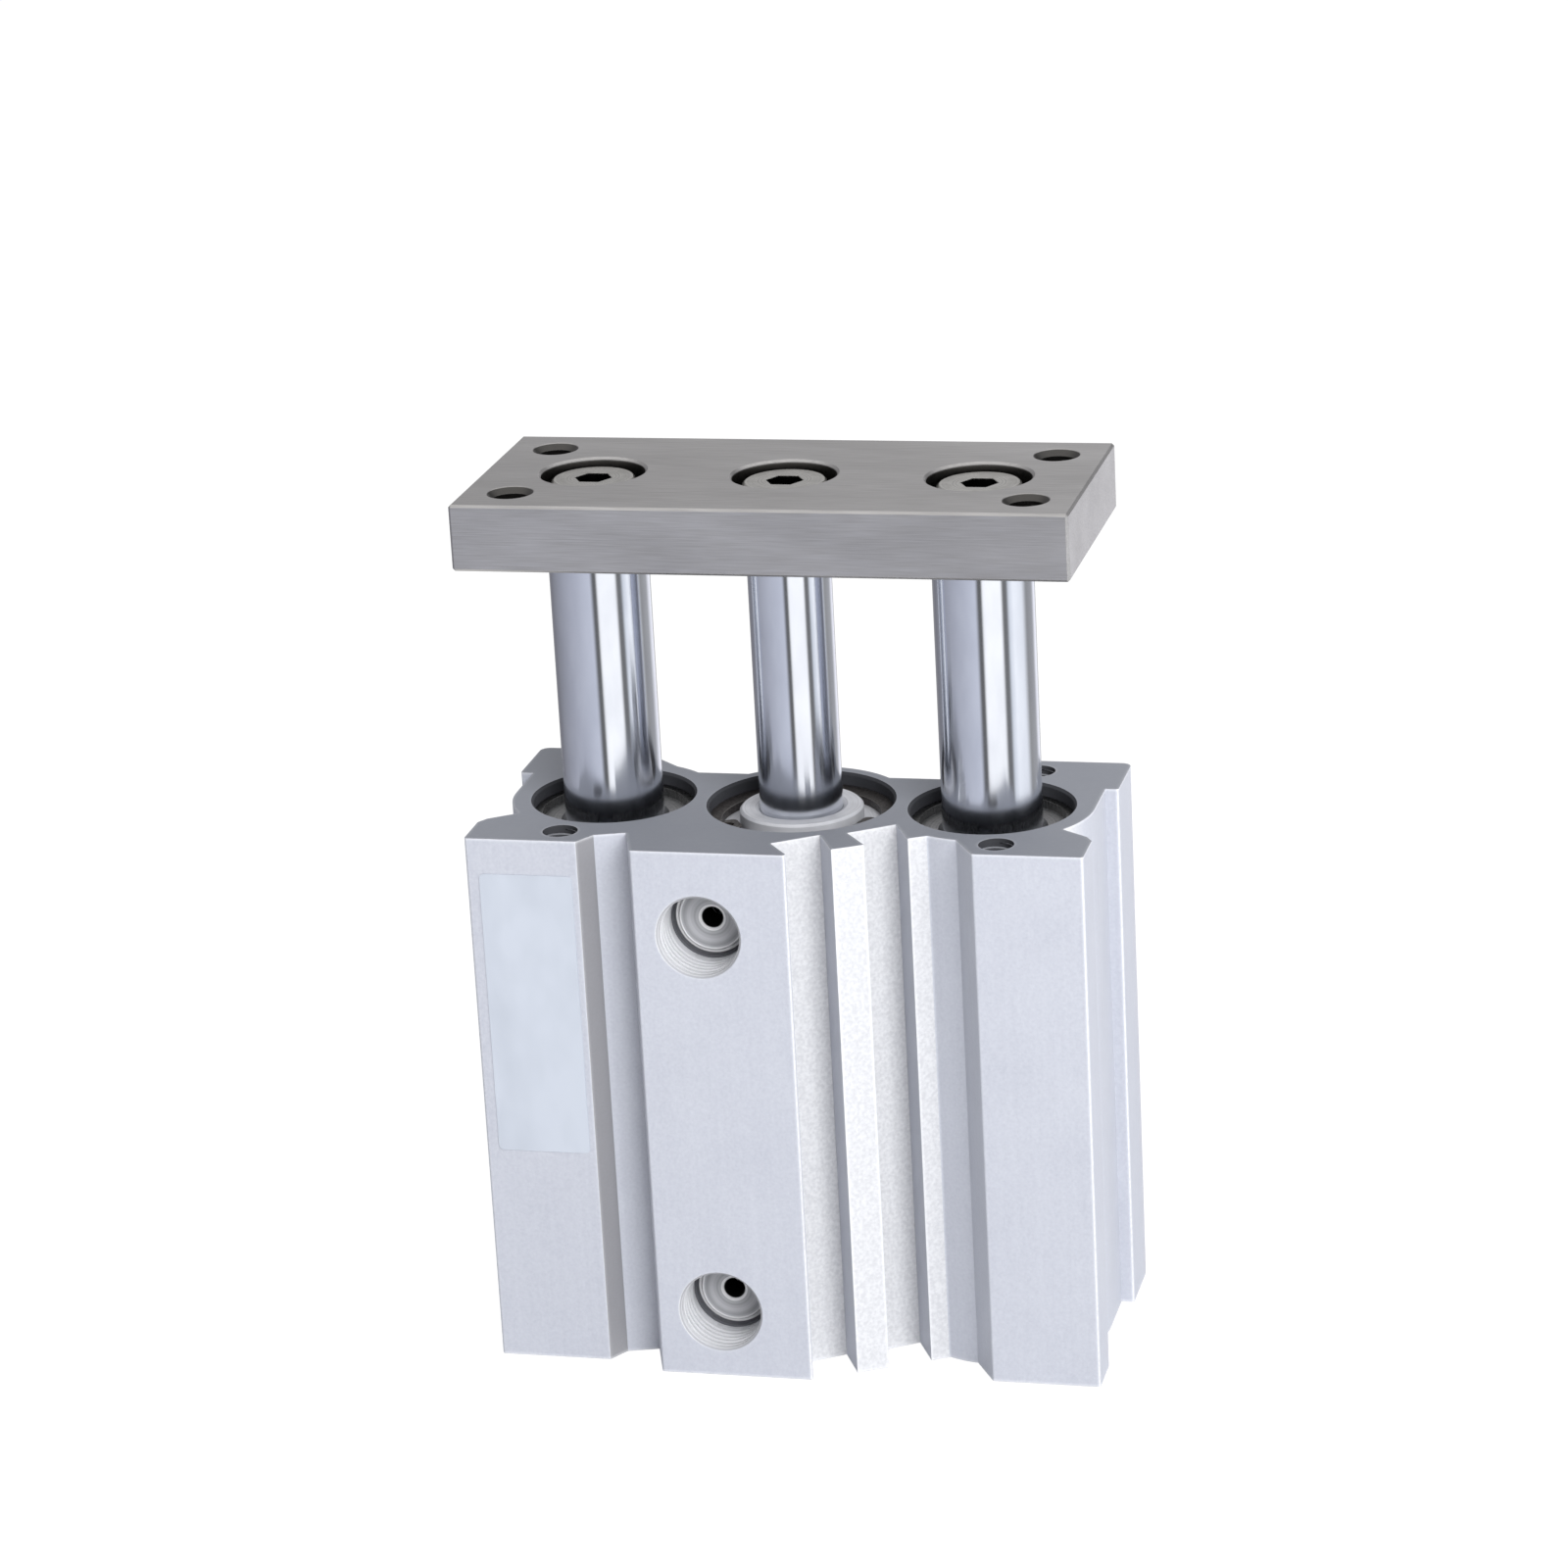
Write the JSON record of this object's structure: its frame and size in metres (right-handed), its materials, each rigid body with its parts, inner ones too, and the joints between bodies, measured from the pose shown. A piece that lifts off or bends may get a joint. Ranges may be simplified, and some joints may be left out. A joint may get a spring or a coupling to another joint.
{
  "type": "guided pneumatic cylinder",
  "caption": "Guided pneumatic cylinder: an extruded body with air ports and sensor grooves moves a tool plate on a piston rod and two guide rods.",
  "frame": {"origin": "on the piston rod's axis, at the body's bottom face, centre of its tapped holes", "axes": "+Z along the rods towards the tool plate, +X along the plate, -Y towards the face with the air ports"},
  "size_m": [0.0742, 0.0362, 0.1075],
  "materials": {
    "anodised_aluminium": "fine blasted, clear anodised",
    "turned_aluminium": "turned, clear anodised",
    "phosphated_spring_steel": "black phosphated",
    "bright_spring_steel": "satin",
    "bearing_alloy": "fine turned",
    "nickel_plated_steel": "ground, nickel plated",
    "nickel_plated_screws": "nickel plated",
    "hard_chrome": "ground and polished",
    "nitrile_rubber": "matt",
    "urethane_bumper": "satin",
    "magnet_compound": "matt",
    "bearing_resin": "matt"
  },
  "bodies": {
    "barrel": {"cylinder_body": "anodised_aluminium", "rod_cover": "turned_aluminium", "rod_cover_ring": "phosphated_spring_steel", "rod_cover_gasket": "nitrile_rubber", "rod_seal": "nitrile_rubber", "rod_side_bumper": "urethane_bumper", "head_cover": "turned_aluminium", "head_cover_ring": "phosphated_spring_steel", "head_cover_gasket": "nitrile_rubber", "head_side_bumper": "urethane_bumper", "guide_bushing_left": "bearing_alloy", "guide_bushing_right": "bearing_alloy", "bushing_ring_left": "bright_spring_steel", "bushing_ring_right": "bright_spring_steel"},
    "carriage": {"tool_plate": "nickel_plated_steel", "piston_rod": "hard_chrome", "guide_rod_left": "hard_chrome", "guide_rod_right": "hard_chrome", "piston": "turned_aluminium", "piston_seal": "nitrile_rubber", "piston_magnet": "magnet_compound", "piston_wear_ring": "bearing_resin", "centre_screw": "nickel_plated_screws", "guide_screws": "nickel_plated_screws"}
  },
  "joints": [
    {"name": "rod_slide", "type": "slide", "parent": "barrel", "child": "carriage", "axis": [0, 0, 1], "range_m": [-0.025, 0]}
  ]
}
